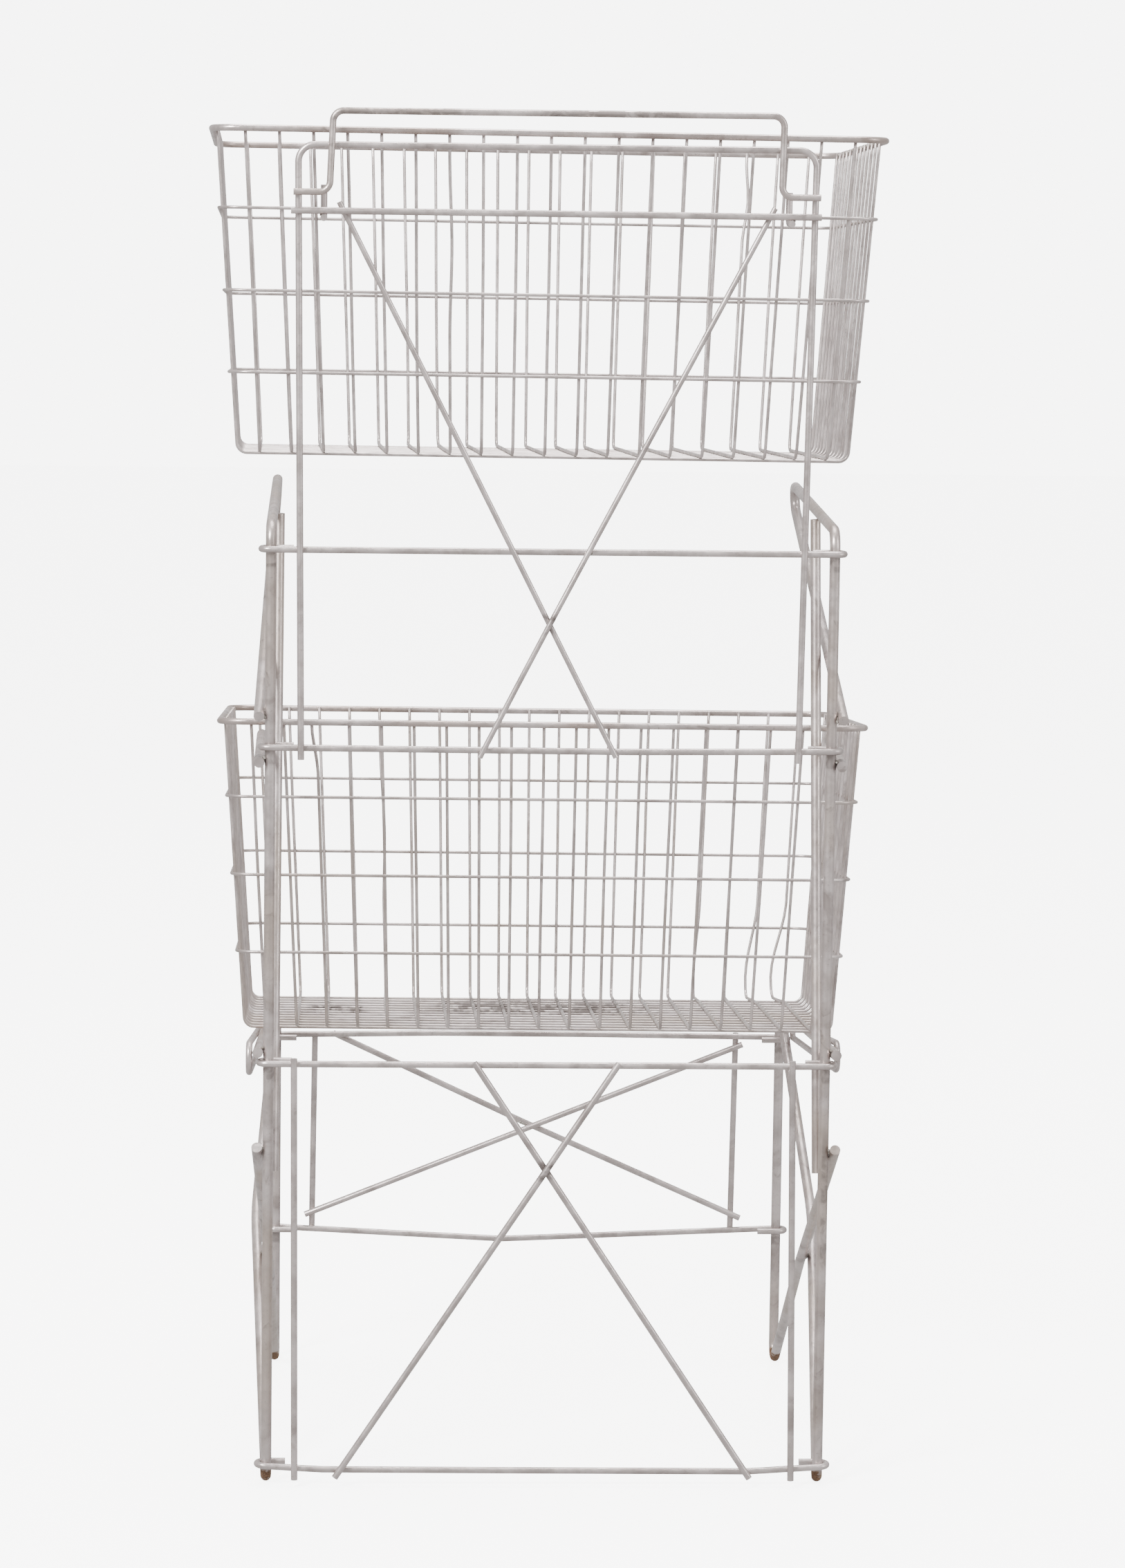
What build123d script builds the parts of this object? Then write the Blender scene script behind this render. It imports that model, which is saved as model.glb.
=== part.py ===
"""Collapsible wire display stand with two removable wire baskets.

Two zigzag side frames of 9.5 mm rod carry the stand.  Each one turns in the
wire eyes of a tall front panel and of a low back panel, so the stand folds
flat like a parallelogram.  A basket hangs on two hooks at the top of the
front panel and another stands on the shelf rods of the side frames.

Units are millimetres, +Z is up, the front panel faces -Y and the origin is on
the floor under the middle of the overall size.
"""
from build123d import *
from math import radians, tan
import os

os.makedirs("parts", exist_ok=True)

# ---- wire and rod diameters ------------------------------------------------
frame_rod = 9.5
rail_rod = 6.0
brace_rod = 5.0
mesh_wire = 3.0

# ---- overall layout ----------------------------------------------------------
stand_x = 7.0  # middle of the stand, the upper basket hangs off centre
front_y = -250.7  # plane of the two front legs
half_width = 250.0  # leg axis to the middle of the stand
side_depth = 477.0  # front leg axis to back leg axis
eye_gap = 0.35  # play between a leg and the wire eye around it

# ---- heights of the front panel ------------------------------------------------
handle_z = 1232.5
hoop_z = 1203.0
handle_foot_z = 1162.0
top_rail_z = 1145.0
upper_rail_z = 848.0
middle_rail_z = 672.0
lower_rail_z = 387.0
foot_rail_z = 18.5

# ---- heights of the side frames ------------------------------------------------
frame_top_z = 868.0
frame_top_back_z = {-1: 888.0, 1: 885.0}  # left and right frames differ a little
frame_lean = {-1: 0.4, 1: -4.0}
upper_end_z = 699.6
lower_end_z = 311.0
hairpin_top_z = 351.0
shelf_z = 397.05
peg_z = 658.3

# ---- heights of the back panel ---------------------------------------------------
back_top_z = 325.0
back_bottom_z = 131.0

# ---- baskets (all measured from the middle of the rim) ---------------------------
rim_half_x = 297.0
rim_half_y = 197.0
basket_depth = 284.0
floor_half_x = 272.0
floor_half_y = 168.0
cross_count = 19
long_count = 13
belt_drops = {"top": 68.9, "middle": 140.9, "bottom": 212.6}
shelf_slope = 4.8

# ---- derived distances --------------------------------------------------------------
eye_y = frame_rod / 2 + eye_gap + rail_rod / 2  # leg axis to the eye's wire
outer_y = eye_y + rail_rod  # leg axis to wires lying on the rails
face_y = outer_y + rail_rod  # leg axis to wires lying on the hoop
touch = frame_rod + 0.2  # axis distance of two runs of the same rod


def at(x, y, z):
    """Turn stand coordinates, from the front legs' mid-point, into the part's own."""
    return (x + stand_x, y + front_y, z)


def bent_rod(points, diameter, radius=0.0, close=False):
    """Add a round rod along straight runs joined by arcs of the given radii."""
    with BuildLine(mode=Mode.PRIVATE) as path:
        if close or len(points) > 2:
            FilletPolyline(*points, radius=radius, close=close)
        else:
            Line(*points)
    with BuildSketch(Plane(path.line @ 0, z_dir=path.line % 0), mode=Mode.PRIVATE) as section:
        Circle(diameter / 2)
    sweep(sections=section.sketch, path=path.line)


def finish(builder, name):
    """Label a finished piece and write its STEP file."""
    builder.part.label = name
    export_step(builder.part, f"parts/{name}.step")
    print(f"{name:28s} {builder.part.volume:10.0f} mm3, solids {len(builder.part.solids())}")


# ======================= front panel ==================================================
with BuildPart() as top_hoop:
    bent_rod(
        [
            at(-222.5, -outer_y, 662),
            at(-228.0, -outer_y, hoop_z),
            at(226.0, -outer_y, hoop_z),
            at(219.3, -outer_y, 662),
        ],
        rail_rod,
        radius=15,
    )
finish(top_hoop, "top_hoop")

with BuildPart() as handle:
    bent_rod(
        [
            at(-232.0, -face_y, handle_foot_z),
            at(-200.5, -face_y, handle_foot_z),
            at(-197.4, -face_y, handle_z),
            at(196.5, -face_y, handle_z),
            at(195.3, -face_y, handle_foot_z),
            at(229.6, -face_y, handle_foot_z),
        ],
        rail_rod,
        radius=9.5,
    )
finish(handle, "handle")

with BuildPart() as top_rail:
    bent_rod([at(-234, -face_y, top_rail_z + 0.7), at(230.5, -face_y, top_rail_z)], rail_rod)
finish(top_rail, "top_rail")


def eye_rail(level, run, leg_y, side, end_left, end_right):
    """Add a rail whose two ends are bent round the legs as open eyes.

    level is the height at the eyes, run lists inner (x, z) points of the rail,
    side is +1 where the rail runs behind the legs and -1 where it runs in front,
    and end_left and end_right are how far each eye's cut end reaches back inwards.
    """
    corner_x = half_width + eye_y + 0.2
    far, near = leg_y - side * eye_y, leg_y + side * eye_y
    left = [at(-half_width + end_left, far, level), at(-corner_x, far, level), at(-corner_x, near, level)]
    right = [at(corner_x, near, level), at(corner_x, far, level), at(half_width - end_right, far, level)]
    middle = [at(x, near, z) for x, z in run]
    bent_rod(left + middle + right, rail_rod, radius=eye_y - 0.2)


with BuildPart() as upper_rail:
    eye_rail(upper_rail_z, [], 0, -1, 20, 19)
finish(upper_rail, "upper_rail")

with BuildPart() as middle_rail:
    eye_rail(middle_rail_z, [(-60, middle_rail_z - 1.0), (70, middle_rail_z - 1.6)], 0, -1, 21, 20)
finish(middle_rail, "middle_rail")

with BuildPart() as lower_rail:
    eye_rail(lower_rail_z, [], 0, -1, 21, 17)
finish(lower_rail, "lower_rail")

with BuildPart() as foot_rail:
    eye_rail(foot_rail_z, [(-200, foot_rail_z - 3.4), (185, foot_rail_z - 4.6)], 0, -1, 17, 16)
finish(foot_rail, "foot_rail")

# The upper cross braces lie behind the top rail and in front of the others, and
# spring apart by their own thickness where they pass each other.
brace_back = outer_y - (rail_rod - brace_rod) / 2
brace_top = face_y - (rail_rod + brace_rod) / 2
with BuildPart() as upper_brace_left:
    bent_rod(
        [
            at(-192, -brace_top, 1153.5),
            at(-32, -brace_back, 840),
            at(-3.5, -brace_back + 2.3, 784),
            at(24, -brace_back, 730),
            at(57, -brace_back, 666),
        ],
        brace_rod,
        radius=160,
    )
finish(upper_brace_left, "upper_brace_left")

with BuildPart() as upper_brace_right:
    bent_rod(
        [
            at(190, -brace_top, 1152.5),
            at(26, -brace_back, 840),
            at(-3.5, -brace_back - 2.75, 784),
            at(-31, -brace_back, 730),
            at(-64, -brace_back, 665),
        ],
        brace_rod,
        radius=160,
    )
finish(upper_brace_right, "upper_brace_right")

with BuildPart() as lower_upright_left:
    bent_rod([at(-227, -outer_y, 393), at(-224.5, -outer_y, 7)], rail_rod)
finish(lower_upright_left, "lower_upright_left")

with BuildPart() as lower_upright_right:
    bent_rod([at(219.5, -outer_y, 393), at(224.7, -outer_y, 7)], rail_rod)
finish(lower_upright_right, "lower_upright_right")

# The lower pair cross 95 mm below the rail, one bowed in and one bowed out.
with BuildPart() as lower_brace_left:
    bent_rod(
        [at(-66, -outer_y, 390), at(-1, -outer_y + 2.9, 292), at(187, -outer_y, 9)],
        rail_rod,
        radius=400,
    )
finish(lower_brace_left, "lower_brace_left")

with BuildPart() as lower_brace_right:
    bent_rod(
        [at(64, -outer_y, 390), at(-1, -outer_y - 3.15, 292), at(-188, -outer_y, 9)],
        rail_rod,
        radius=400,
    )
finish(lower_brace_right, "lower_brace_right")

# Each basket hook passes under the top rail and turns up behind the basket's wire.
def basket_hook(x, z, height):
    """Add one hook with its cut end facing forwards under the top rail."""
    bent_rod([at(x, -23.5, z), at(x, 10.8, z), at(x, 10.8, height)], rail_rod, radius=6)


with BuildPart() as hook_left:
    basket_hook(-205.4, top_rail_z - 5.4, 1168)
finish(hook_left, "hook_left")

with BuildPart() as hook_right:
    basket_hook(204.4, top_rail_z - 6.0, 1166)
finish(hook_right, "hook_right")

# ======================= back panel ===================================================
with BuildPart() as back_top_rail:
    eye_rail(back_top_z, [(-90, back_top_z + 2.5), (60, back_top_z + 2.0)], side_depth, 1, 20, 18)
finish(back_top_rail, "back_top_rail")

with BuildPart() as back_bottom_rail:
    eye_rail(back_bottom_z, [(-24, back_bottom_z - 12)], side_depth, 1, 18, 19)
finish(back_bottom_rail, "back_bottom_rail")

with BuildPart() as back_upright_left:
    bent_rod([at(-212, side_depth + outer_y, 322), at(-214, side_depth + outer_y, 128)], rail_rod)
finish(back_upright_left, "back_upright_left")

with BuildPart() as back_upright_right:
    bent_rod([at(207.5, side_depth + outer_y, 328), at(205, side_depth + outer_y, 126)], rail_rod)
finish(back_upright_right, "back_upright_right")

with BuildPart() as back_brace_left:
    bent_rod(
        [
            at(-194, side_depth + outer_y + 0.1, 326),
            at(-6, side_depth + outer_y + 0.1, 238),
            at(214, side_depth + eye_y - 0.1, 141),
        ],
        rail_rod,
        radius=400,
    )
finish(back_brace_left, "back_brace_left")

with BuildPart() as back_brace_right:
    bent_rod([at(214, side_depth + eye_y, 317.5), at(-221, side_depth + eye_y, 143)], rail_rod)
finish(back_brace_right, "back_brace_right")


# ======================= side frames ==================================================
def frame_piece(side, points):
    """Mirror points given as (outwards, back, up) from a front leg to the asked side."""
    return [at(side * (half_width + out), y, z) for out, y, z in points]


def foot_corner_z(rise, bend):
    """Height of the corner whose rounded rod just wears flat on the floor.

    rise is the slope of the brace above the floor in degrees, bend the bend radius.
    """
    return frame_rod / 2 + bend - bend / tan(radians((90 - rise) / 2)) - 0.35


bend = 12.0
front_foot_z = foot_corner_z(37.5, bend)
back_foot_z = foot_corner_z(33.0, bend)
hairpin_corner_z = hairpin_top_z - frame_rod / 2 - bend + bend / tan(radians(26.25))


def zigzag(side):
    """Corners of the one rod that makes a whole side frame.

    It runs from the upper brace over the top and down the front leg, round the
    foot, up the long brace, down the back leg, round that foot and up the lower
    brace.  Both of its ends lie outside the front leg.
    """
    long_rise = (hairpin_corner_z - front_foot_z) / side_depth
    low_rise = (lower_end_z - back_foot_z) / (side_depth + 8)
    return [
        (touch + 0.25, -8, upper_end_z),
        (frame_lean[side], 443, frame_top_back_z[side]),
        (0, 0, frame_top_z),
        (0, 0, front_foot_z),
        (15.5, 262, front_foot_z + 262 * long_rise),
        (0, side_depth, hairpin_corner_z),
        (0, side_depth, back_foot_z),
        (2.2, 232, back_foot_z + 245 * low_rise),
        (touch + 0.3, -8, lower_end_z),
    ]


zigzag_bends = [13, 16, bend, 400, bend, bend, 600]
inner_brace = [(-4.6, 8.4, 286), (-5.4, 141, 890)]
shelf = [(9.45, -8, shelf_z), (2.4, 482, shelf_z - 490 * tan(radians(shelf_slope)))]
peg = [(9.45, -8, peg_z), (9.45, 124.5, peg_z + 132.5 * tan(radians(4.2)))]


def tie_loop(start):
    """Corners of the closed wire loop beside the shelf rod, from its front end at start."""
    share = (start + 4) / 456
    out = 17.3 - 6.3 * share
    return [
        (out, start, 404.5 - 59 * share),
        (out, start, 378 - 47 * share),
        (11.0, 452, 331),
        (11.0, 452, 345.5),
    ]


def side_frame(side):
    """Add the zigzag rod and grind the feet flat where they stand."""
    bent_rod(frame_piece(side, zigzag(side)), frame_rod, radius=zigzag_bends)
    split(bisect_by=Plane.XY, keep=Keep.TOP)


def mitred_brace(side):
    """Add the upright brace, cut to the slope of the top rod that it is welded under."""
    bent_rod(frame_piece(side, inner_brace), frame_rod)
    slope = (frame_top_back_z[side] - frame_top_z) / 443
    under_leg = at(side * half_width, 0, frame_top_z - frame_rod / 2 - 0.05)
    split(bisect_by=Plane(under_leg, x_dir=(1, 0, 0), z_dir=(0, -slope, 1)), keep=Keep.BOTTOM)


with BuildPart() as left_frame:
    side_frame(-1)
finish(left_frame, "left_frame")

with BuildPart() as left_inner_brace:
    mitred_brace(-1)
finish(left_inner_brace, "left_inner_brace")

with BuildPart() as left_shelf_rod:
    bent_rod(frame_piece(-1, shelf), frame_rod)
finish(left_shelf_rod, "left_shelf_rod")

with BuildPart() as left_stop_peg:
    bent_rod(frame_piece(-1, peg), frame_rod)
finish(left_stop_peg, "left_stop_peg")

with BuildPart() as left_tie_loop:
    bent_rod(frame_piece(-1, tie_loop(-4)), rail_rod, radius=[12, 12, 6, 6], close=True)
finish(left_tie_loop, "left_tie_loop")

with BuildPart() as right_frame:
    side_frame(1)
finish(right_frame, "right_frame")

with BuildPart() as right_inner_brace:
    mitred_brace(1)
finish(right_inner_brace, "right_inner_brace")

with BuildPart() as right_shelf_rod:
    bent_rod(frame_piece(1, shelf), frame_rod)
finish(right_shelf_rod, "right_shelf_rod")

with BuildPart() as right_stop_peg:
    bent_rod(frame_piece(1, peg), frame_rod)
finish(right_stop_peg, "right_stop_peg")

with BuildPart() as right_tie_loop:
    bent_rod(frame_piece(1, tie_loop(55)), rail_rod, radius=[12, 12, 6, 6], close=True)
finish(right_tie_loop, "right_tie_loop")


# ======================= baskets ======================================================
wall_x = rim_half_x - (rail_rod + mesh_wire) / 2 + 0.02  # wall wires inside the rim
wall_y = rim_half_y - (rail_rod + mesh_wire) / 2 + 0.02
wire_top = 1.5
cross_pitch = 29.8
cross_floor_pitch = 28.0
long_pitch = 28.0
long_floor_pitch = 25.0


def ring(half_x, half_y, z, diameter, corner):
    """Add a closed, round-cornered wire ring that lies level."""
    front = [(-half_x, -half_y, z), (half_x, -half_y, z)]
    back = [(half_x, half_y, z), (-half_x, half_y, z)]
    bent_rod(front + back, diameter, radius=corner, close=True)


def belt(drop):
    """Add one belt wire round the outside of the sloping walls."""
    slope = drop / basket_depth
    out = mesh_wire - 0.02
    half_x = wall_x - (wall_x - floor_half_x) * slope + out
    half_y = wall_y - (wall_y - floor_half_y) * slope + out
    ring(half_x, half_y, -drop, mesh_wire, 20)


def cross_wires():
    """Add the U wires that run down the front wall, along the floor and up the back."""
    floor_z = -basket_depth + mesh_wire - 0.02
    for i in range(cross_count):
        step = i - (cross_count - 1) / 2
        top, low = step * cross_pitch, step * cross_floor_pitch
        bent_rod(
            [
                (top, -wall_y, wire_top),
                (low, -floor_half_y, floor_z),
                (low, floor_half_y, floor_z),
                (top, wall_y, wire_top),
            ],
            mesh_wire,
            radius=9,
        )


def long_wires():
    """Add the U wires that run down one end wall, under the floor and up the other."""
    for i in range(long_count):
        step = i - (long_count - 1) / 2
        top, low = step * long_pitch, step * long_floor_pitch
        bent_rod(
            [
                (-wall_x, top, wire_top),
                (-floor_half_x, low, -basket_depth),
                (floor_half_x, low, -basket_depth),
                (wall_x, top, wire_top),
            ],
            mesh_wire,
            radius=9,
        )


def rim_place(x, y, z, tilt, roll=0.0, yaw=0.0):
    """Where the middle of a rim stands, tilted down at the back and then rolled and turned."""
    return Location(at(x, y, z), (-tilt, roll, yaw))


def basket_piece(builder, place, name):
    """Move a piece made about the basket's own origin to its place in the stand."""
    builder.part = builder.part.moved(place)
    finish(builder, name)


# The upper basket hangs a little askew on its hooks.
upper_place = rim_place(-9.7, 193.2, 1207.4, 2.2, 0.33, 0.95)
lower_place = rim_place(-1.5, 325.4, 662.3, 4.6, 0.2)

for level, place in (("upper", upper_place), ("lower", lower_place)):
    with BuildPart() as basket_rim:
        ring(rim_half_x, rim_half_y, 0, rail_rod, 24)
    basket_piece(basket_rim, place, f"{level}_basket_rim")

    for height, drop in belt_drops.items():
        with BuildPart() as basket_belt:
            belt(drop)
        basket_piece(basket_belt, place, f"{level}_basket_{height}_belt")

    with BuildPart() as basket_cross_wires:
        cross_wires()
    basket_piece(basket_cross_wires, place, f"{level}_basket_cross_wires")

    with BuildPart() as basket_long_wires:
        long_wires()
    basket_piece(basket_long_wires, place, f"{level}_basket_long_wires")
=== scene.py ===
"""Looks of the collapsible wire basket stand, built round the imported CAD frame.

Lengths are metres.  MM turns millimetres into metres.  The stand's own
coordinates start on the floor midway between the front legs, X to the right,
Y to the back, Z up; spot() turns them into the row frame.
"""

import math
import random

import bmesh
import bpy
from mathutils import Matrix, Vector, noise


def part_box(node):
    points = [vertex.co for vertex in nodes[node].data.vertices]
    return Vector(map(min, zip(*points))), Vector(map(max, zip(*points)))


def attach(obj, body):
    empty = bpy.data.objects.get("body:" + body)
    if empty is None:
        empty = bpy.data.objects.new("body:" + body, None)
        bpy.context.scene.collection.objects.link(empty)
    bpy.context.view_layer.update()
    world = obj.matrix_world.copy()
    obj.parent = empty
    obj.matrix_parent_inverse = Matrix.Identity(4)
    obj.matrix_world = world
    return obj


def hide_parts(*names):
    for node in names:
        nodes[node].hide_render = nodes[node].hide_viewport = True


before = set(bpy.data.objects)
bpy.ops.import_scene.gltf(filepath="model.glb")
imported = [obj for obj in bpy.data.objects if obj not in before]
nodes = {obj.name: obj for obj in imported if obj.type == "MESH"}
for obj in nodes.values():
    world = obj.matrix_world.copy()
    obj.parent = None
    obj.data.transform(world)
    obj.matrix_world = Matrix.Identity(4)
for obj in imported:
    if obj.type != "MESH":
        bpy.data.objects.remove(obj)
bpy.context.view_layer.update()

MM = 0.001

# ---- driving sizes, as in the CAD ------------------------------------------------
RAIL_ROD = 6.0 * MM
MESH_WIRE = 3.0 * MM
BASKET_DEPTH = 284.0 * MM
FLOOR_HALF_X = 272.0 * MM
FLOOR_HALF_Y = 168.0 * MM
RIM_HALF_X = 297.0 * MM
RIM_HALF_Y = 197.0 * MM
WALL_X = RIM_HALF_X - (RAIL_ROD + MESH_WIRE) / 2
WALL_Y = RIM_HALF_Y - (RAIL_ROD + MESH_WIRE) / 2
WIRE_TOP = 1.5 * MM
WALL_BEND = 9.0 * MM
BELT_DROPS = [68.9 * MM, 140.9 * MM, 212.6 * MM]
CROSS_COUNT, CROSS_PITCH, CROSS_FLOOR_PITCH = 19, 29.8 * MM, 28.0 * MM
LONG_COUNT, LONG_PITCH, LONG_FLOOR_PITCH = 13, 28.0 * MM, 25.0 * MM
# How each basket stands: degrees turned about X, Y and Z.
SET = {"upper": (-2.2, 0.33, 0.95), "lower": (-4.6, 0.2, 0.0)}

# ---- the stand, in millimetres from its middle in the plane of the front legs ----
HALF_WIDTH = 250.0  # leg axis to the middle of the stand
SIDE_DEPTH = 477.0  # front leg axis to back leg axis
HALF_TOUCH = 4.85  # half the axis distance of two frame rods side by side
LONG_BRACE_BOW = 15.5  # how far the long brace of a side frame bows outwards
# How far before or behind a leg's axis the wires lie: eyes, uprights, and handle.
EYE_Y = 8.1
OUTER = 14.1
FACE = 20.1
HANDLE_Z = 1232.5
HANDLE_FOOT_Z = 1162
FRONT_EYES_Z = (848.0, 672.0, 387.0, 18.5)
BACK_EYES_Z = (325.0, 131.0)
UPPER_CROSSING_Z = 784
LOWER_CROSSING_Z = 292

STAND_X = 7.0 * MM  # middle of the stand in the row frame
HOOP_BACK = 11.1 * MM  # from the back of the hoop to the front legs' axes
stand_origin = Vector((STAND_X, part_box("top_hoop")[1][1] + HOOP_BACK, 0.0))


def spot(x, y, z):
    """A place given in the stand's millimetres, in the row frame."""
    return stand_origin + Vector((x, y, z)) * MM


# ======================= materials ================================================
class Nodes:
    """A small helper that lays out one material's node tree."""

    def __init__(self, name):
        self.material = bpy.data.materials.new(name)
        self.material.use_nodes = True
        self.tree = self.material.node_tree
        self.shader = self.tree.nodes["Principled BSDF"]
        self.place = self.tree.nodes.new("ShaderNodeTexCoord").outputs["Object"]

    def link(self, out, socket):
        self.tree.links.new(out, socket)

    def noise(self, scale, detail=4.0, roughness=0.55, distortion=0.0, stretch=(1, 1, 1)):
        """Fractal noise of the object's own place, stretched along some axes."""
        mapping = self.tree.nodes.new("ShaderNodeMapping")
        mapping.inputs["Scale"].default_value = stretch
        self.link(self.place, mapping.inputs["Vector"])
        texture = self.tree.nodes.new("ShaderNodeTexNoise")
        texture.inputs["Scale"].default_value = scale
        texture.inputs["Detail"].default_value = detail
        texture.inputs["Roughness"].default_value = roughness
        texture.inputs["Distortion"].default_value = distortion
        self.link(mapping.outputs["Vector"], texture.inputs["Vector"])
        return texture.outputs["Fac"]

    def ramp(self, value, low, high, start=0.0, end=1.0):
        """Value mapped smoothly from low..high to start..end."""
        step = self.tree.nodes.new("ShaderNodeMapRange")
        step.interpolation_type = "SMOOTHSTEP"
        limits = {"From Min": low, "From Max": high, "To Min": start, "To Max": end}
        for socket, number in limits.items():
            step.inputs[socket].default_value = number
        self.link(value, step.inputs["Value"])
        return step.outputs["Result"]

    def math(self, how, a, b):
        """Two values joined by a maths operation; b may be a number."""
        step = self.tree.nodes.new("ShaderNodeMath")
        step.operation = how
        self.link(a, step.inputs[0])
        if isinstance(b, (int, float)):
            step.inputs[1].default_value = b
        else:
            self.link(b, step.inputs[1])
        return step.outputs["Value"]

    def mix(self, mask, below, above):
        """Colour above laid over colour below where mask is 1."""
        step = self.tree.nodes.new("ShaderNodeMix")
        step.data_type = "RGBA"
        self.link(mask, step.inputs["Factor"])
        for socket, colour in ((step.inputs[6], below), (step.inputs[7], above)):
            if isinstance(colour, tuple):
                socket.default_value = (*colour, 1.0)
            else:
                self.link(colour, socket)
        return step.outputs[2]

    def axis(self, letter):
        """One coordinate of the place, in metres."""
        step = self.tree.nodes.new("ShaderNodeSeparateXYZ")
        self.link(self.place, step.inputs["Vector"])
        return step.outputs[letter]

    def close_to(self, value, centre, half):
        """1 where value lies close to centre, fading to 0 a little more than half away."""
        away = self.math("ABSOLUTE", self.math("SUBTRACT", value, centre), 0.0)
        return self.ramp(away, half * 0.7, half * 1.25, 1.0, 0.0)

    def patch(self, middle, half):
        """1 inside a box given by its middle and half size, an axis of None left free."""
        mask = None
        for letter, centre, size in zip("XYZ", middle, half):
            if size is not None:
                inside = self.close_to(self.axis(letter), centre, size)
                mask = inside if mask is None else self.math("MULTIPLY", mask, inside)
        return mask

    def bump(self, height, strength, distance):
        step = self.tree.nodes.new("ShaderNodeBump")
        step.inputs["Strength"].default_value = strength
        step.inputs["Distance"].default_value = distance
        self.link(height, step.inputs["Height"])
        self.link(step.outputs["Normal"], self.shader.inputs["Normal"])


ZINC_PALE = (0.58, 0.52, 0.505)
ZINC_MID = (0.41, 0.36, 0.345)
ZINC_DARK = (0.22, 0.18, 0.168)
GRIME = (0.13, 0.10, 0.085)
STAIN_AND_SHADE = (0.10, 0.082, 0.075)
# Dark colour for stains, and for painted contact shade where rods cross.
RUST = (0.27, 0.165, 0.105)
RUST_DARK = (0.15, 0.092, 0.06)


def zinc(
    name,
    dullness=0.0,
    grime=0.35,
    rust_below=None,
    warm=None,
    stains_and_shade=(),
    stain_and_shade=0.8,
    freckles=0.35,
):
    """Aged zinc plating: cloudy grey, fine drawn grain, dark freckles and grime.

    The listed patches are soft-edged dark marks, given as (middle, half size) in metres: stains, the
    dark rings below the leg eyes, and painted contact shade where the front braces cross; a half size
    of None leaves that axis free.
    """
    n = Nodes(name)
    cloud = n.ramp(n.noise(38.0, 3.0, 0.5, 0.4), 0.32, 0.68)
    colour = n.mix(cloud, ZINC_MID, ZINC_PALE)
    patch = n.ramp(n.noise(17.0, 5.0, 0.6, 1.2), 0.50, 0.72)
    colour = n.mix(n.math("MULTIPLY", patch, 0.55 + dullness), colour, ZINC_DARK)
    if warm:
        tint = n.ramp(n.noise(7.0, 3.0, 0.5, 0.6), 0.42, 0.66)
        colour = n.mix(n.math("MULTIPLY", tint, 0.7), colour, warm)
    freckle = n.ramp(n.noise(420.0, 3.0, 0.6), 0.60, 0.70)
    colour = n.mix(n.math("MULTIPLY", freckle, freckles), colour, ZINC_DARK)
    dirt = n.ramp(n.noise(30.0, 4.0, 0.6, 2.2), 0.60, 0.74)
    colour = n.mix(n.math("MULTIPLY", dirt, grime), colour, GRIME)
    rough = n.ramp(n.noise(140.0, 4.0, 0.6), 0.3, 0.7, 0.28, 0.46)
    if stains_and_shade:
        stain_and_shade_breakup = n.ramp(n.noise(70.0, 3.0, 0.55, 1.0), 0.34, 0.60)
        patches = [n.patch(middle, half) for middle, half in stains_and_shade]
        mask = patches[0]
        for patch in patches[1:]:
            mask = n.math("MAXIMUM", mask, patch)
        mask = n.math("MULTIPLY", n.math("MULTIPLY", mask, stain_and_shade_breakup), stain_and_shade)
        # Darken the listed patches: stains and dark marks, and painted contact shade where the front
        # braces cross.
        colour = n.mix(mask, colour, STAIN_AND_SHADE)
        rough = n.math("MAXIMUM", rough, n.ramp(mask, 0.1, 0.8, 0.0, 0.66))
    if rust_below:
        low = n.ramp(n.axis("Z"), rust_below * 0.35, rust_below, 1.0, 0.0)
        spread = n.ramp(n.noise(120.0, 5.0, 0.65), 0.30, 0.62)
        mask = n.math("MULTIPLY", low, n.math("ADD", spread, 0.35))
        flakes = n.ramp(n.noise(600.0, 4.0, 0.6), 0.4, 0.62)
        colour = n.mix(n.ramp(mask, 0.15, 0.75), colour, n.mix(flakes, RUST, RUST_DARK))
        rough = n.math("MAXIMUM", rough, n.ramp(mask, 0.15, 0.7, 0.0, 0.88))
    n.link(colour, n.shader.inputs["Base Color"])
    n.link(rough, n.shader.inputs["Roughness"])
    n.shader.inputs["Metallic"].default_value = 0.8
    grain = n.noise(900.0, 3.0, 0.6)
    n.bump(n.math("ADD", grain, n.noise(160.0, 3.0, 0.5)), 0.12, 0.0003)
    return n.material


def weld_metal(name):
    """Weld metal: darker, heat-stained, rough and lumpy under a thin zinc film."""
    n = Nodes(name)
    tone = n.ramp(n.noise(260.0, 5.0, 0.65, 0.8), 0.35, 0.65)
    colour = n.mix(tone, (0.20, 0.175, 0.15), (0.42, 0.40, 0.37))
    burnt = n.ramp(n.noise(70.0, 4.0, 0.6), 0.52, 0.68)
    colour = n.mix(n.math("MULTIPLY", burnt, 0.75), colour, (0.10, 0.075, 0.055))
    n.link(colour, n.shader.inputs["Base Color"])
    n.link(n.ramp(n.noise(300.0, 3.0), 0.3, 0.7, 0.4, 0.7), n.shader.inputs["Roughness"])
    n.shader.inputs["Metallic"].default_value = 0.65
    n.bump(n.noise(700.0, 4.0, 0.6), 0.4, 0.0005)
    return n.material


def cut_steel(name):
    """Sheared rod end: bright, scratched, with a brown bloom."""
    n = Nodes(name)
    scratch = n.ramp(n.noise(900.0, 2.0, 0.5, 0.0, (1, 1, 6)), 0.35, 0.65)
    colour = n.mix(scratch, (0.42, 0.38, 0.33), (0.66, 0.62, 0.56))
    bloom = n.ramp(n.noise(160.0, 4.0, 0.6), 0.48, 0.68)
    colour = n.mix(n.math("MULTIPLY", bloom, 0.6), colour, (0.24, 0.15, 0.09))
    n.link(colour, n.shader.inputs["Base Color"])
    n.link(n.ramp(scratch, 0.0, 1.0, 0.32, 0.55), n.shader.inputs["Roughness"])
    n.shader.inputs["Metallic"].default_value = 0.8
    n.bump(scratch, 0.2, 0.0002)
    return n.material


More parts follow.
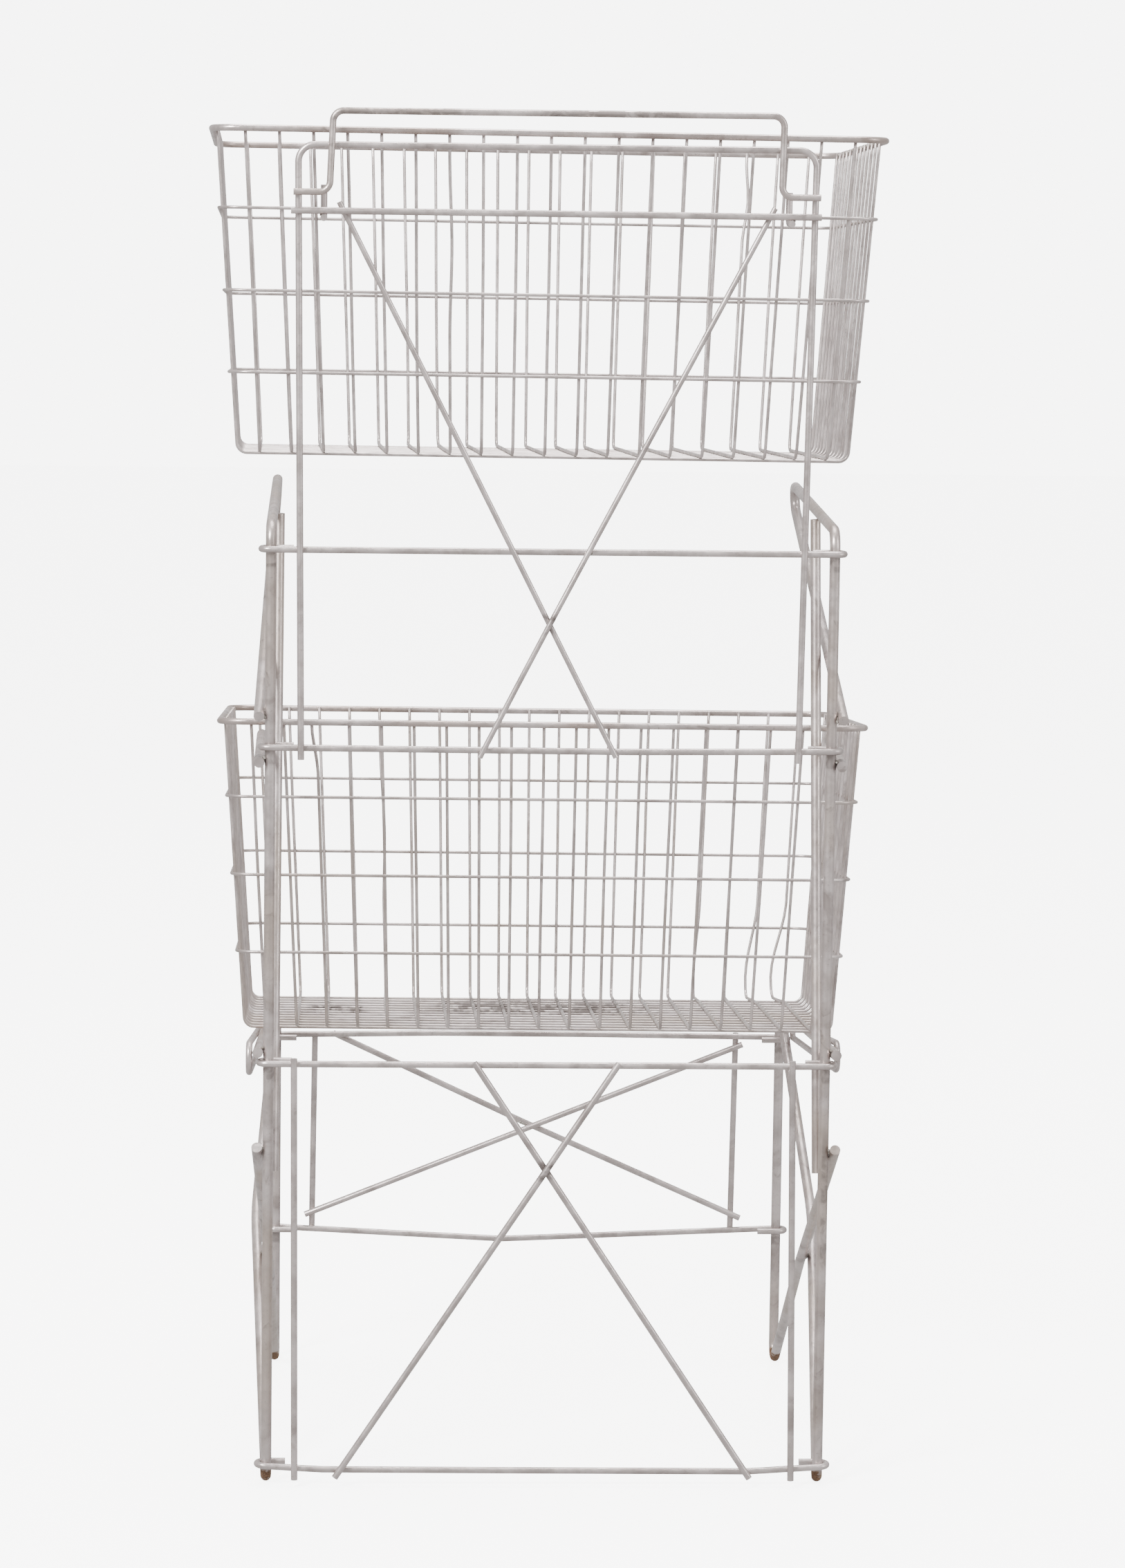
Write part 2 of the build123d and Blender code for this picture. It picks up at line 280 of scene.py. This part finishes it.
def leg_dark_marks():
    """Dark rings on the legs just below the wire eyes, and one long streak."""
    rings = [(0.0, z - 9.0, 7.0) for z in FRONT_EYES_Z]
    rings += [(SIDE_DEPTH, z - 8.0, 6.0) for z in BACK_EYES_Z]
    for y, z, half in rings:
        yield spot(0, y, z), (None, 7.0 * MM, half * MM)
    yield spot(252.0, -2.0, 262.0), (4.0 * MM, 4.0 * MM, 60.0 * MM)


# Stains, and painted contact shade where the front braces cross, as places and half sizes along X, Y
# and Z.
HANDLE_STAINS = [
    (spot(-150, -FACE, HANDLE_Z), (70 * MM, 8 * MM, 8 * MM)),
    (spot(40, -FACE, HANDLE_Z), (60 * MM, 8 * MM, 8 * MM)),
]
# Painted contact shade: dark patches on the front braces where the two braces cross.
CROSSING_SHADE = [
    (spot(-3.5, -OUTER, UPPER_CROSSING_Z), (7 * MM, 9 * MM, 9 * MM)),
    (spot(-1, -OUTER, LOWER_CROSSING_Z), (7 * MM, 9 * MM, 8 * MM)),
]
BASKET_STAINS = [
    (spot(5, 365, 390), (105 * MM, 70 * MM, 22 * MM)),
    (spot(-190, 330, 390), (28 * MM, 40 * MM, 22 * MM)),
]

leg_zinc = zinc(
    "leg_zinc",
    dullness=0.14,
    grime=0.5,
    rust_below=0.018,
    warm=(0.43, 0.36, 0.31),
    stains_and_shade=list(leg_dark_marks()),
    stain_and_shade=0.55,
)
rail_zinc = zinc("rail_zinc", rust_below=0.009)
handle_zinc = zinc(
    "handle_zinc",
    grime=0.4,
    warm=(0.44, 0.37, 0.33),
    stains_and_shade=HANDLE_STAINS,
    stain_and_shade=0.6,
)
# The braces get painted contact shade where they cross.
brace_zinc = zinc("brace_zinc", grime=0.2, stains_and_shade=CROSSING_SHADE)
upper_zinc = zinc("upper_basket_zinc", grime=0.2, freckles=0.1)
lower_zinc = zinc(
    "lower_basket_zinc",
    dullness=0.15,
    grime=0.3,
    freckles=0.1,
    warm=(0.39, 0.33, 0.29),
    stains_and_shade=BASKET_STAINS,
)
rim_zinc = zinc("rim_zinc", dullness=0.25, grime=0.6, warm=(0.36, 0.28, 0.24))
weld_finish = weld_metal("weld_metal")
cut_finish = cut_steel("cut_steel")


def node_finish(name):
    """The finish of a CAD node, chosen by what kind of rod it is."""
    if name.endswith("_basket_rim"):
        return rim_zinc
    if name == "handle":
        return handle_zinc
    if name.startswith("upper_basket"):
        return upper_zinc
    if name.startswith("lower_basket"):
        return lower_zinc
    if name.endswith(("_frame", "_inner_brace", "_shelf_rod", "_stop_peg")):
        return leg_zinc
    if "brace" in name:
        return brace_zinc
    return rail_zinc


for name, node in nodes.items():
    node.data.materials.clear()
    node.data.materials.append(node_finish(name))


# ======================= geometry helpers =========================================
def new_object(name, bm, finish, body):
    """A finished piece from a bmesh, riding on a CAD body."""
    bmesh.ops.recalc_face_normals(bm, faces=bm.faces)
    mesh = bpy.data.meshes.new(name)
    bm.to_mesh(mesh)
    bm.free()
    for polygon in mesh.polygons:
        polygon.use_smooth = True
    piece = bpy.data.objects.new(name, mesh)
    bpy.context.scene.collection.objects.link(piece)
    for material in finish if isinstance(finish, list) else [finish]:
        piece.data.materials.append(material)
    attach(piece, body)
    return piece


def rounded(points, radius, arc_steps=7, run_step=12 * MM):
    """Points along straight runs joined by arcs, close enough together to be bent further."""
    out = [points[0]]
    for before, corner, after in zip(points, points[1:], points[2:]):
        into, away = (corner - before).normalized(), (after - corner).normalized()
        half = into.angle(away) / 2
        reach = radius * math.tan(half)
        centre = corner + (away - into).normalized() * radius / math.cos(half)
        start, end = corner - into * reach, corner + away * reach
        for i in range(arc_steps + 1):
            share = i / arc_steps
            arm = (start - centre).normalized().slerp((end - centre).normalized(), share)
            out.append(centre + arm * radius)
    out.append(points[-1])
    dense = [out[0]]
    for a, b in zip(out, out[1:]):
        parts = max(1, round((b - a).length / run_step))
        dense += [a.lerp(b, k / parts) for k in range(1, parts + 1)]
    return dense


def tube(bm, points, radius, sides=10, end_round=0.35 * MM, end_material=None):
    """A round wire along points, with slightly rounded cut ends."""
    directions = []
    for i in range(len(points)):
        a, b = points[max(i - 1, 0)], points[min(i + 1, len(points) - 1)]
        directions.append((b - a).normalized())
    side = directions[0].orthogonal().normalized()
    rings = []
    steps = [(0, radius - end_round, 0.0), (0, radius, end_round)]
    steps += [(i, radius, 0.0) for i in range(1, len(points) - 1)]
    steps += [(len(points) - 1, radius, -end_round), (len(points) - 1, radius - end_round, 0.0)]
    for i, size, shift in steps:
        along = directions[i]
        side = (side - along * side.dot(along)).normalized()
        other = along.cross(side)
        centre = points[i] + along * shift
        ring = []
        for k in range(sides):
            turn = 2 * math.pi * k / sides
            ring.append(bm.verts.new(centre + (side * math.cos(turn) + other * math.sin(turn)) * size))
        rings.append(ring)
    for a, b in zip(rings, rings[1:]):
        for k in range(sides):
            bm.faces.new((a[k], a[(k + 1) % sides], b[(k + 1) % sides], b[k]))
    for ring in (rings[0][::-1], rings[-1]):
        cap = bm.faces.new(ring)
        if end_material is not None:
            cap.material_index = end_material


def lump(bm, centre, size, seed, frame_axes=None, detail=2):
    """One lumpy blob of weld metal; size is its three half lengths."""
    made = bmesh.ops.create_icosphere(bm, subdivisions=detail, radius=1.0)["verts"]
    axes = frame_axes or Matrix.Identity(3)
    for v in made:
        rough = 1.0 + 0.22 * noise.noise(v.co * 1.7 + Vector((seed * 3.1, seed * 1.7, seed)))
        local = Vector((v.co.x * size[0], v.co.y * size[1], v.co.z * size[2])) * rough
        v.co = centre + axes @ local


def axes_along(direction):
    """A 3x3 frame whose X runs along direction."""
    x = direction.normalized()
    y = x.orthogonal().normalized()
    return Matrix((x, y, x.cross(y))).transposed()


def bead(bm, start, end, width, seed):
    """A weld bead laid in overlapping puddles from start to end."""
    length = (end - start).length
    count = max(2, round(length / (width * 0.55)))
    axes = axes_along(end - start)
    for i in range(count):
        share = i / (count - 1)
        thick = width * 0.5 * (0.72 + 0.28 * math.sin(math.pi * share))
        lump(bm, start.lerp(end, share), (width * 0.62, thick, thick), seed + i, axes)


# ======================= basket wires =============================================
def basket_frame(level):
    """Where a basket's own axes stand: the middle of its rim, turned as the basket is set."""
    low, high = (Vector(v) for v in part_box(f"{level}_basket_rim"))
    place = Matrix.Translation((low + high) / 2)
    for degrees, axis in zip(SET[level], "XYZ"):
        place = place @ Matrix.Rotation(math.radians(degrees), 4, axis)
    return place


def sway(points, rng, amount, axis):
    """Bend a wire a little sideways, as handling leaves it."""
    total = len(points) - 1
    waves = [(rng.uniform(0.6, 3.2), rng.uniform(0, 6.28), rng.uniform(0.3, 1.0)) for _ in range(3)]
    for i, p in enumerate(points):
        share = i / total
        ease = min(1.0, min(share, 1 - share) * 9)
        swing = [size * math.sin(count * math.pi * 2 * share + phase) for count, phase, size in waves]
        push = sum(swing) / 2
        p += axis * amount * ease * push


def dent(points, centre, reach, push):
    """Push the stretch of a wire round centre sideways by push, fading over reach."""
    for p in points:
        near = max(0.0, 1 - (p - centre).length / reach)
        p += push * (near * near * (3 - 2 * near))


def cross_wire_points(step):
    top, low = step * CROSS_PITCH, step * CROSS_FLOOR_PITCH
    floor_z = -BASKET_DEPTH + MESH_WIRE
    return rounded(
        [
            Vector((top, -WALL_Y, WIRE_TOP)),
            Vector((low, -FLOOR_HALF_Y, floor_z)),
            Vector((low, FLOOR_HALF_Y, floor_z)),
            Vector((top, WALL_Y, WIRE_TOP)),
        ],
        WALL_BEND,
    )


def long_wire_points(step):
    top, low = step * LONG_PITCH, step * LONG_FLOOR_PITCH
    return rounded(
        [
            Vector((-WALL_X, top, WIRE_TOP)),
            Vector((-FLOOR_HALF_X, low, -BASKET_DEPTH)),
            Vector((FLOOR_HALF_X, low, -BASKET_DEPTH)),
            Vector((WALL_X, top, WIRE_TOP)),
        ],
        WALL_BEND,
    )


# Cross wires that were knocked out of line: (wire number from the left, place,
# reach, push), in the basket's own millimetres.
CROSS_DENTS = {
    "upper": [
        (16, (208, 188, -45), 40, (3.5, 0, 0)),
        (6, (-88, -184, -100), 80, (2.0, 0, 0)),
    ],
    "lower": [
        (17, (225, 170, -258), 72, (-8, 0, 0)),
        (18, (253, 170, -258), 72, (-11, 0, 0)),
        (15, (169, 170, -255), 70, (-3, 0, 0)),
        (2, (-208, -192, -2), 46, (-4.5, 0, 0)),
        (4, (-146, 182, -120), 80, (2.5, 0, 0)),
    ],
}


def basket_wires(level):
    """Both sets of U wires, each wire a little different, in place of the CAD's even ones."""
    rng = random.Random(7 if level == "upper" else 11)
    place = basket_frame(level)
    finish = upper_zinc if level == "upper" else lower_zinc
    side, back = Vector((1, 0, 0)), Vector((0, 1, 0))
    for kind, count, wire, axis in (
        ("cross", CROSS_COUNT, cross_wire_points, side),
        ("long", LONG_COUNT, long_wire_points, back),
    ):
        bm = bmesh.new()
        for i in range(count):
            points = wire(i - (count - 1) / 2)
            sway(points, rng, 0.55 * MM, axis)
            if kind == "cross":
                for number, centre, reach, push in CROSS_DENTS[level]:
                    if number == i:
                        dent(points, Vector(centre) * MM, reach * MM, Vector(push) * MM)
            tube(bm, [place @ p for p in points], MESH_WIRE / 2, end_material=1)
        name = f"{level}_{kind}_wires"
        piece = new_object(name, bm, [finish, cut_finish], f"{level}_basket")
        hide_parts(f"{level}_basket_{kind}_wires")


def wall_at(drop, half_top, half_floor):
    """Half width of a sloping wall a drop below the rim."""
    return half_top - (half_top - half_floor) * drop / BASKET_DEPTH


def basket_welds(level):
    """A small pinched weld wherever wires cross each other, the belts or the rim."""
    place = basket_frame(level)
    bm = bmesh.new()
    seed = 0
    for kind, count, pitch, floor_pitch, halves in (
        ("cross", CROSS_COUNT, CROSS_PITCH, CROSS_FLOOR_PITCH, (WALL_Y, FLOOR_HALF_Y)),
        ("long", LONG_COUNT, LONG_PITCH, LONG_FLOOR_PITCH, (WALL_X, FLOOR_HALF_X)),
    ):
        for i in range(count):
            step = i - (count - 1) / 2
            for drop in [0.0] + BELT_DROPS:
                across = step * (pitch - (pitch - floor_pitch) * drop / BASKET_DEPTH)
                out = wall_at(drop, *halves) + MESH_WIRE / 2
                size = 1.5 * MM if drop else 2.0 * MM
                for sign in (-1, 1):
                    seed += 1
                    at = (across, sign * out, -drop) if kind == "cross" else (sign * out, across, -drop)
                    lump(bm, place @ Vector(at), (size, size, size * 0.9), seed, detail=1)
    for i in range(CROSS_COUNT):
        for k in range(LONG_COUNT):
            seed += 1
            x = (i - (CROSS_COUNT - 1) / 2) * CROSS_FLOOR_PITCH
            y = (k - (LONG_COUNT - 1) / 2) * LONG_FLOOR_PITCH
            at = Vector((x, y, -BASKET_DEPTH + MESH_WIRE / 2))
            lump(bm, place @ at, (1.45 * MM, 1.45 * MM, 1.2 * MM), seed, detail=1)
    new_object(f"{level}_basket_welds", bm, weld_finish, f"{level}_basket")


for basket in ("upper", "lower"):
    basket_wires(basket)
    basket_welds(basket)

# ======================= frame welds ==============================================
# Rods of the panels as (x, z) ends, and the heights where they cross the rails.
HOOP_LEFT = ((-228.0, 1203), (-222.5, 662))
HOOP_RIGHT = ((226.0, 1203), (219.3, 662))
UPPER_BRACES = (((-192, 1153.5), (57, 666)), ((190, 1152.5), (-64, 665)))
LOWER_UPRIGHTS = (((-227, 393), (-224.5, 7)), ((219.5, 393), (224.7, 8)))
LOWER_BRACES = (((-66, 390), (187, 9)), ((64, 390), (-188, 9)))
BACK_UPRIGHTS = (((-212, 322), (-214, 128)), ((207.5, 328), (205, 126)))
RAILS = {"top": 1145.0, "upper": 848.0, "middle": 672.0, "lower": 387.0, "foot": 15.0}
BACK_RAILS = (325.5, 129.0)
BACK_CROSSING_Y = 11.2  # leg axis to between the two back braces
# How far before or behind a leg's axis the welds sit: at eye rails, hoop and upper braces.
RAIL_WELD_Y = EYE_Y + 3
HOOP_WELD_Y = OUTER + 3
BRACE_WELD_Y = OUTER + 2.9


def on_line(a, b, z):
    """X where the straight rod from a to b, given as (x, z), passes height z."""
    return a[0] + (b[0] - a[0]) * (z - a[1]) / (b[1] - a[1])


def front_weld_places():
    """Where rods cross the front panel's rails and hoop: x, y, z and bead size in millimetres."""
    for hoop in (HOOP_LEFT, HOOP_RIGHT):
        yield on_line(*hoop, RAILS["top"]), -HOOP_WELD_Y, RAILS["top"], 2.6
        yield on_line(*hoop, HANDLE_FOOT_Z), -HOOP_WELD_Y, HANDLE_FOOT_Z, 2.8
        for rail in ("upper", "middle"):
            yield on_line(*hoop, RAILS[rail]), -RAIL_WELD_Y, RAILS[rail], 2.6
    for brace in UPPER_BRACES:
        yield on_line(*brace, RAILS["top"]), -BRACE_WELD_Y, RAILS["top"], 2.4
        for rail in ("upper", "middle"):
            yield on_line(*brace, RAILS[rail]), -RAIL_WELD_Y, RAILS[rail], 2.3
    for rod in LOWER_UPRIGHTS + LOWER_BRACES:
        for rail in ("lower", "foot"):
            yield on_line(*rod, RAILS[rail]), -RAIL_WELD_Y, RAILS[rail], 2.6


def weld_piece(body, places, beads):
    """All the welds of one body as one mesh."""
    bm = bmesh.new()
    seed = 0
    for x, y, z, size in places:
        seed += 1
        lump(bm, spot(x, y, z), (size * 1.15 * MM, size * 0.8 * MM, size * 1.05 * MM), seed)
    for start, end, width in beads:
        seed += 20
        bead(bm, spot(*start), spot(*end), width * MM, seed)
    new_object(f"{body}_welds", bm, weld_finish, body)


def side_beads(s):
    """Beads that join the rods of one side frame, s = -1 left, +1 right."""
    edge = s * (HALF_WIDTH + HALF_TOUCH)
    middle = s * (HALF_WIDTH + LONG_BRACE_BOW / 2)
    return [
        ((edge, -2.2, 698.5), (edge, 3.0, 705.5), 3.6),
        ((edge, -2.0, 309), (edge, 3.0, 303.0), 3.6),
        ((edge, -2.6, 400.5), (edge, 2.8, 400.0), 3.4),
        ((edge, -2.8, 661.8), (edge, 2.6, 662.2), 3.4),
        ((middle, 216, 165.5), (middle, 226.5, 159.5), 4.2),
        ((s * 246.4, 134.5, 866.2), (s * 247.4, 143.2, 867.6), 4.6),
    ]


weld_piece(
    "front_panel",
    list(front_weld_places()),
    [
        ((-207.9, -17.2, 1142.0), (-207.9, -13.0, 1141.8), 3.2),
        ((206.9, -17.2, 1141.6), (206.9, -13.0, 1141.4), 3.2),
        ((-1.5, -OUTER, 789.5), (-4.5, -OUTER, 780.5), 2.4),
        ((0.8, -OUTER, 295.5), (-2.2, -OUTER, 288.5), 2.8),
    ],
)
for side_name, s in (("left", -1), ("right", 1)):
    weld_piece(f"{side_name}_side", [], side_beads(s))
weld_piece(
    "back_panel",
    [
        (on_line(*upright, rail_z), SIDE_DEPTH + RAIL_WELD_Y, rail_z, 2.6)
        for upright in BACK_UPRIGHTS
        for rail_z in BACK_RAILS
    ],
    [
        (
            (-8.5, SIDE_DEPTH + BACK_CROSSING_Y, 237.5),
            (-2.5, SIDE_DEPTH + BACK_CROSSING_Y, 235.0),
            2.8,
        )
    ],
)

# ======================= floor, light and camera ==================================
FLOOR_HALF_SIZE = 14.0  # metres
FLOOR_GLOW = 5.9  # makes the floor as bright as the backdrop
SKY_LIGHT = 0.9  # the backdrop's own light on the stand
SKY_SEEN = 7.0  # the backdrop as the camera sees it
CLEAN_WHITE = (1.0, 0.995, 0.99, 1.0)


def plain(name, colour, roughness):
    """A plain painted surface with a hardly visible cloudiness and a glow."""
    n = Nodes(name)
    cloud = n.ramp(n.noise(1.6, 4.0, 0.5), 0.3, 0.7)
    n.link(n.mix(cloud, colour, tuple(c * 0.965 for c in colour)), n.shader.inputs["Base Color"])
    n.shader.inputs["Roughness"].default_value = roughness
    n.shader.inputs["Emission Color"].default_value = CLEAN_WHITE
    n.shader.inputs["Emission Strength"].default_value = FLOOR_GLOW
    return n.material


floor_bm = bmesh.new()
bmesh.ops.create_grid(floor_bm, x_segments=1, y_segments=1, size=FLOOR_HALF_SIZE)
floor_mesh = bpy.data.meshes.new("floor")
floor_bm.to_mesh(floor_mesh)
floor_bm.free()
floor = bpy.data.objects.new("floor", floor_mesh)
bpy.context.scene.collection.objects.link(floor)
floor.data.materials.append(plain("pale_floor", (0.86, 0.855, 0.85), 0.45))
floor.visible_diffuse = False
floor.visible_glossy = False

world = bpy.data.worlds.new("studio")
bpy.context.scene.world = world
world.use_nodes = True
backdrop = world.node_tree.nodes["Background"]
backdrop.inputs["Color"].default_value = CLEAN_WHITE
light_path = world.node_tree.nodes.new("ShaderNodeLightPath")
glow = world.node_tree.nodes.new("ShaderNodeMapRange")
glow.inputs["To Min"].default_value = SKY_LIGHT
glow.inputs["To Max"].default_value = SKY_SEEN
world.node_tree.links.new(light_path.outputs["Is Camera Ray"], glow.inputs["Value"])
world.node_tree.links.new(glow.outputs["Result"], backdrop.inputs["Strength"])


def soft_light(name, place, target, size, power):
    """A large rectangular softbox."""
    light = bpy.data.lights.new(name, "AREA")
    light.shape = "RECTANGLE"
    light.size, light.size_y = size
    light.energy = power
    holder = bpy.data.objects.new(name, light)
    holder.location = place
    holder.rotation_euler = (Vector(target) - Vector(place)).to_track_quat("-Z", "Y").to_euler()
    bpy.context.scene.collection.objects.link(holder)


soft_light("key", (-2.4, -3.0, 3.4), (0, 0, 0.8), (1.1, 1.6), 380)
soft_light("fill", (3.4, -2.2, 2.2), (0, 0, 0.6), (1.2, 2.4), 70)
soft_light("top", (0.2, 0.6, 4.2), (0, 0, 0.5), (2.2, 2.2), 200)

CAMERA_PLACE = spot(-176.4, -4397.8, 1203.2)
YAW, PITCH, ROLL = (math.radians(a) for a in (2.432, 7.288, -0.744))
FOCAL_LENGTH = 114.3
forward = Vector((math.sin(YAW) * math.cos(PITCH), math.cos(YAW) * math.cos(PITCH), -math.sin(PITCH)))
level_right = Vector((math.cos(YAW), -math.sin(YAW), 0.0))
level_down = forward.cross(level_right)
right = level_right * math.cos(ROLL) + level_down * math.sin(ROLL)
up = -(level_down * math.cos(ROLL) - level_right * math.sin(ROLL))
lens = bpy.data.cameras.new("camera")
lens.lens = FOCAL_LENGTH
camera = bpy.data.objects.new("camera", lens)
turned = Matrix((right, up, -forward)).transposed().to_4x4()
camera.matrix_world = Matrix.Translation(CAMERA_PLACE) @ turned
bpy.context.scene.collection.objects.link(camera)
bpy.context.scene.camera = camera
